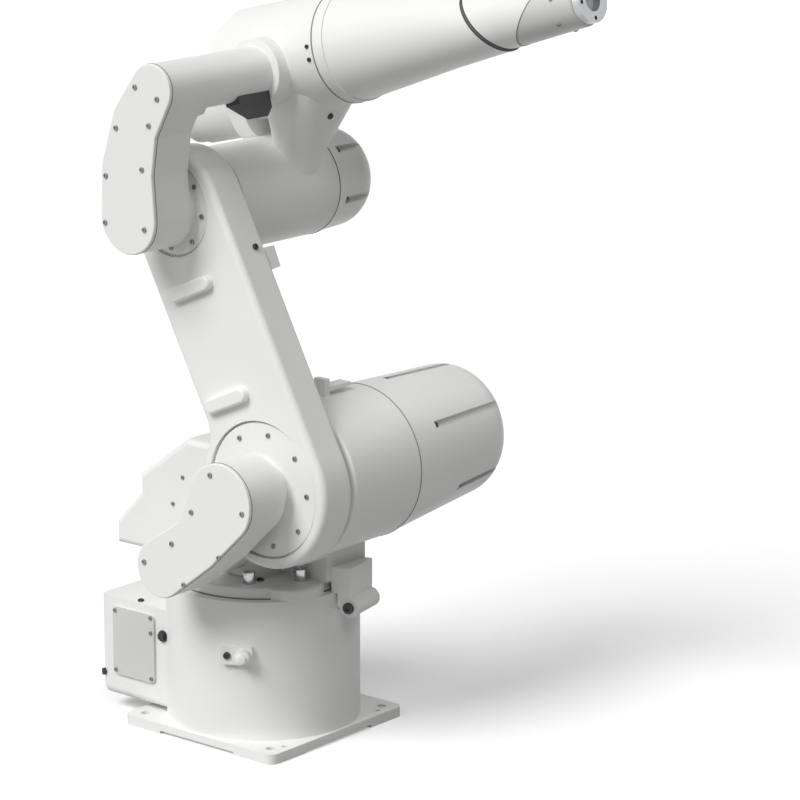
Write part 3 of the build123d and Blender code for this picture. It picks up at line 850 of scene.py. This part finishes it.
class ARM_OT_fittings(bpy.types.Operator):
    """Plug and vent of the purge port, and screws of the arm's small brackets"""

    bl_idname = "arm.fittings"
    bl_label = "Fittings"

    def execute(self, context):
        sizes = context.scene.arm_sizes
        outward = around(PORT_ANGLE, AHEAD, ACROSS)
        aside = around(PORT_ANGLE, ACROSS, -AHEAD)
        port, side = [
            facing(outward * reach + aside * shift + UP * PORT_HEIGHT, outward)
            for reach, shift in (PORT_PLUG, PORT_VENT)
        ]
        plug = hex_bolt("purge_plug", sizes.purge_plug, sizes.purge_plug_height)
        settle(plug, "purge_plug", [port], "base", "cast_white_paint")
        vent = flat_screw("purge_vent", sizes.purge_vent)
        settle(vent, "purge_vent", [side], "base", "black_steel")
        along = ARM_LENGTH - DOG_SETBACK
        spots = [on_arm(DOG_AHEAD, DOG_FACE, along + shift) for shift in (-DOG_PITCH, DOG_PITCH)]
        dog = [facing(spot, ACROSS) for spot in spots]
        screw = flat_screw("dog_screw", sizes.dog_screw)
        settle(screw, "dog_screw", dog, "lower_arm", "oxide_steel")
        edge = flat_screw("arm_edge_screw", sizes.edge_screw)
        settle(edge, "arm_edge_screw", [facing(*ARM_EDGE_SCREW)], "lower_arm", "black_steel")
        return {"FINISHED"}


class ARM_OT_motor_screws(bpy.types.Operator):
    """Screws of the motor housing and on top of the turning motor"""

    bl_idname = "arm.motor_screws"
    bl_label = "Motor screws"

    def execute(self, context):
        sizes = context.scene.arm_sizes
        walls = [
            facing((x, side * MOTOR_WALL, z), ACROSS * side, z)
            for side in (-1, 1) for x, z in MOTOR_WALL_SCREWS
        ]
        screw = flat_screw("motor_wall_screw", sizes.cover_screw)
        settle(screw, "motor_wall_screw", walls, "turret", "oxide_steel")
        top = middle("turn_motor")
        top.z = high("turn_motor").z
        turn = [facing(spot, UP) for spot in circle(top, TURN_MOTOR_CIRCLE, AHEAD, ACROSS)]
        screw = flat_screw("turn_motor_screw", sizes.motor_screw)
        settle(screw, "turn_motor_screw", turn, "turret", "oxide_steel")
        return {"FINISHED"}


class ARM_OT_forearm_screws(bpy.types.Operator):
    """Screws of the roll housing, the neck and the nose of the wrist"""

    bl_idname = "arm.forearm_screws"
    bl_label = "Forearm screws"

    def execute(self, context):
        sizes = context.scene.arm_sizes
        ring = on_roll_axis(-HOUSING_SETBACK)
        housing = []
        for pair in HOUSING_PAIRS:
            for angle in (pair - PAIR_SPREAD, pair + PAIR_SPREAD):
                outward = around(angle, ACROSS, FOREARM_UP)
                housing.append(facing(ring + outward * HOUSING_RADIUS, outward))
        screw = flat_screw("housing_screw", sizes.cover_screw)
        settle(screw, "housing_screw", housing, "elbow", "black_steel")
        neck = flat_screw("neck_screw", sizes.edge_screw)
        settle(neck, "neck_screw", [facing(*NECK_SCREW)], "elbow", "black_steel")
        centre = on_roll_axis(NOSE_SCREWS_ALONG)
        spots = circle(centre, NOSE_CIRCLE, ACROSS, FOREARM_UP)
        nose = [facing(spot, spot - centre) for spot in spots]
        screw = flat_screw("nose_screw", sizes.cover_screw)
        settle(screw, "nose_screw", nose, "wrist", "oxide_steel")
        return {"FINISHED"}


class ARM_OT_gaskets(bpy.types.Operator):
    """Gaskets under the conduit lids and in the slanted joint of the nose"""

    bl_idname = "arm.gaskets"
    bl_label = "Gaskets"

    def execute(self, context):
        half = context.scene.arm_sizes.gasket / 2
        front, back = LID_SEAM * MM - half, LID_SEAM * MM + half
        lower = [
            (SHOULDER.x + x, SHOULDER.z + z, radius + LID_OVERLAP)
            for x, z, radius in LOWER_LID_STATIONS
        ]
        upper = []
        for along, up, radius in UPPER_LID_STATIONS:
            point = on_elbow(along, 0, up)
            upper.append((point.x, point.z, radius + LID_OVERLAP))
        rows = (("lower_gasket", lower, "turret"), ("upper_gasket", upper, "elbow"))
        for name, stations, body in rows:
            gasket = hull_plate(name, stations, front, back)
            finish_piece(gasket, name, body, "seal_rubber")
        gasket = self.nose_gasket(half)
        place = facing(on_roll_axis(0), FOREARM_ALONG)
        settle(gasket, "nose_gasket", [place], "wrist", "seal_rubber")
        return {"FINISHED"}

    def nose_gasket(self, half):
        """A thin slanted slice of the nose's taper, round Z, a little proud of the nose."""
        start, end = NOSE_SPAN
        root, tip = (radius + LID_OVERLAP for radius in NOSE_RADII)
        slab = drum("slice_tool", root * 2 * MM, -half, half, sides=TOOL_SIDES)
        lift = Matrix.Translation((0, 0, NOSE_SEAM * MM))
        slab.data.transform(lift @ Matrix.Rotation(NOSE_SLANT, 4, "X"))
        deselect()
        bpy.ops.mesh.primitive_cone_add(
            vertices=RING_SIDES,
            radius1=root * MM,
            radius2=tip * MM,
            depth=(end - start) * MM,
            location=(0, 0, (start + end) / 2 * MM),
        )
        cone = settled("nose_gasket")
        combine(cone, slab, "INTERSECT")
        return cone


class ARM_OT_seals(bpy.types.Operator):
    """Lip seals at the turning seams and at the feet of the motor covers"""

    bl_idname = "arm.seals"
    bl_label = "Seals"

    def execute(self, context):
        turn = UP * (COLUMN_TOP - TURN_SEAL[1] / 2)
        roll = on_roll_axis(-ROLL_SEAL_SETBACK)
        behind = BEND_SEAM - BEND_ALONG * FOREARM_LIP_SETBACK
        ahead = BEND_SEAM + BEND_ALONG * WRIST_LIP_ADVANCE
        shoulder = SHOULDER + ACROSS * (low("shoulder_motor_cover").y - SHOULDER_SEAL[1] / 2)
        elbow = ELBOW + ACROSS * (low("elbow_motor_cover").y - ELBOW_SEAL[1] / 2)
        rows = (
            ("turn_seal", TURN_SEAL, turn, UP, "base", "seal_rubber"),
            ("roll_seal", ROLL_SEAL, roll, FOREARM_ALONG, "elbow", "seal_rubber"),
            # The two wrist lips are real seals whose dark colour paints the shade in the groove at the wrist seam
            ("forearm_lip", WRIST_LIP, behind, BEND_ALONG, "forearm", "shaded_wiper_rubber"),
            ("wrist_lip", WRIST_LIP, ahead, BEND_ALONG, "wrist", "shaded_wiper_rubber"),
            ("shoulder_cover_seal", SHOULDER_SEAL, shoulder, ACROSS, "turret", "seal_rubber"),
            ("elbow_cover_seal", ELBOW_SEAL, elbow, ACROSS, "elbow", "seal_rubber"),
        )
        for name, (radius, width), point, direction, body, finish in rows:
            outer = radius * MM + context.scene.arm_sizes.lip
            ring = lip_ring(name, outer, (radius - SEAL_DEPTH) * MM, width * MM)
            settle(ring, name, [facing(point, direction)], body, finish)
        return {"FINISHED"}


class ARM_OT_stage(bpy.types.Operator):
    """Pale floor, soft studio light and the camera of the photograph"""

    bl_idname = "arm.stage"
    bl_label = "Stage"

    def execute(self, context):
        self.floor(context)
        self.sky(context)
        for name, toward, energy, angle in SUNS:
            self.sun(name, Vector(toward), energy, math.radians(angle))
        self.camera(context)
        context.scene.view_settings.view_transform = "Standard"
        return {"FINISHED"}

    def sight(self, tree):
        """1 for the rays that see the background: straight, reflected or through glass."""
        path = tree.nodes.new("ShaderNodeLightPath")
        share = path.outputs["Is Camera Ray"]
        for name in ("Is Glossy Ray", "Is Transmission Ray"):
            either = tree.nodes.new("ShaderNodeMath")
            either.operation = "MAXIMUM"
            tree.links.new(share, either.inputs[0])
            tree.links.new(path.outputs[name], either.inputs[1])
            share = either.outputs["Value"]
        return share

    def floor(self, context):
        deselect()
        bpy.ops.mesh.primitive_plane_add(size=FLOOR_SIZE)
        floor = named("floor")
        surface, tree, shader, place = blank_material("studio_floor")
        colour = tuple(context.scene.arm_colours.floor)
        mottle = noise(tree, place, size_mm=400, detail=2)
        tree.links.new(tint(tree, colour, shade=0.985, share=mottle), shader.inputs["Base Color"])
        shader.inputs["Roughness"].default_value = FLOOR_ROUGHNESS
        shader.inputs["Specular IOR Level"].default_value = FLOOR_SPECULAR
        dim = add_node(tree, "ShaderNodeBsdfDiffuse", Color=srgb(FLOOR_GLOW))
        mix = add_node(tree, "ShaderNodeMixShader", Fac=self.sight(tree))
        lift = add_node(tree, "ShaderNodeEmission", Color=(1, 1, 1, 1), Strength=FLOOR_LIFT)
        lit = tree.nodes.new("ShaderNodeAddShader")
        tree.links.new(shader.outputs["BSDF"], lit.inputs[0])
        tree.links.new(lift.outputs["Emission"], lit.inputs[1])
        tree.links.new(dim.outputs["BSDF"], mix.inputs[1])
        tree.links.new(lit.outputs["Shader"], mix.inputs[2])
        tree.links.new(mix.outputs["Shader"], tree.nodes["Material Output"].inputs["Surface"])
        floor.data.materials.append(surface)

    def sky(self, context):
        """A white background for the camera and for reflections, and a soft fill for the arm."""
        world = bpy.data.worlds.new("studio")
        context.scene.world = world
        world.use_nodes = True
        tree = world.node_tree
        tree.nodes.clear()
        seen = add_node(tree, "ShaderNodeBackground", Color=(1, 1, 1, 1), Strength=1.0)
        soft = srgb(FILL_COLOUR)
        fill = add_node(tree, "ShaderNodeBackground", Color=soft, Strength=FILL_STRENGTH)
        mix = add_node(tree, "ShaderNodeMixShader", Fac=self.sight(tree))
        tree.links.new(fill.outputs["Background"], mix.inputs[1])
        tree.links.new(seen.outputs["Background"], mix.inputs[2])
        output = tree.nodes.new("ShaderNodeOutputWorld")
        tree.links.new(mix.outputs["Shader"], output.inputs["Surface"])

    def sun(self, name, toward, energy, angle):
        """A soft sun; toward is the direction from the arm to it."""
        deselect()
        bpy.ops.object.light_add(type="SUN", location=toward * SUN_DISTANCE)
        sun = named(name)
        sun.data.energy = energy
        sun.data.angle = angle
        sun.rotation_euler = toward.to_track_quat("Z", "Y").to_euler()

    def camera(self, context):
        azimuth, elevation = math.radians(CAMERA_AZIMUTH), math.radians(CAMERA_ELEVATION)
        right = Vector((math.cos(azimuth), math.sin(azimuth), 0))
        level = Vector((math.sin(azimuth), -math.cos(azimuth), 0))
        back = level * math.cos(elevation) + UP * math.sin(elevation)
        deselect()
        bpy.ops.object.camera_add()
        camera = named("camera")
        camera.matrix_world = Matrix((right, back.cross(right), back)).transposed().to_4x4()
        camera.location = right * CAMERA_RIGHT + UP * CAMERA_HEIGHT + back * CAMERA_DISTANCE
        camera.data.sensor_width = CAMERA_SENSOR
        camera.data.lens = CAMERA_LENS
        camera.data.clip_end = CAMERA_REACH
        context.scene.camera = camera


class ARM_PT_panel(bpy.types.Panel):
    """Sizes, colours and steps of the robot arm"""

    bl_idname = "ARM_PT_panel"
    bl_label = "Robot arm"
    bl_space_type = "VIEW_3D"
    bl_region_type = "UI"
    bl_category = "Robot arm"

    def draw(self, context):
        for group in (context.scene.arm_sizes, context.scene.arm_colours):
            for name in group.__annotations__:
                self.layout.prop(group, name)
        for operator in OPERATORS:
            self.layout.operator(operator.bl_idname)


OPERATORS = (
    ARM_OT_paint,
    ARM_OT_lid_screws,
    ARM_OT_ring_screws,
    ARM_OT_slot_screws,
    ARM_OT_turret_bolts,
    ARM_OT_box_screws,
    ARM_OT_connectors,
    ARM_OT_fittings,
    ARM_OT_motor_screws,
    ARM_OT_forearm_screws,
    ARM_OT_gaskets,
    ARM_OT_seals,
    ARM_OT_stage,
)
CLASSES = (ArmSizes, ArmColours, *OPERATORS, ARM_PT_panel)


def register():
    for entry in CLASSES:
        bpy.utils.register_class(entry)
    bpy.types.Scene.arm_sizes = PointerProperty(type=ArmSizes)
    bpy.types.Scene.arm_colours = PointerProperty(type=ArmColours)


def unregister():
    del bpy.types.Scene.arm_colours
    del bpy.types.Scene.arm_sizes
    for entry in reversed(CLASSES):
        bpy.utils.unregister_class(entry)


def main():
    register()
    bpy.ops.arm.paint()
    bpy.ops.arm.lid_screws()
    bpy.ops.arm.ring_screws()
    bpy.ops.arm.slot_screws()
    bpy.ops.arm.turret_bolts()
    bpy.ops.arm.box_screws()
    bpy.ops.arm.connectors()
    bpy.ops.arm.fittings()
    bpy.ops.arm.motor_screws()
    bpy.ops.arm.forearm_screws()
    bpy.ops.arm.gaskets()
    bpy.ops.arm.seals()
    bpy.ops.arm.stage()


if __name__ == "__main__":
    main()
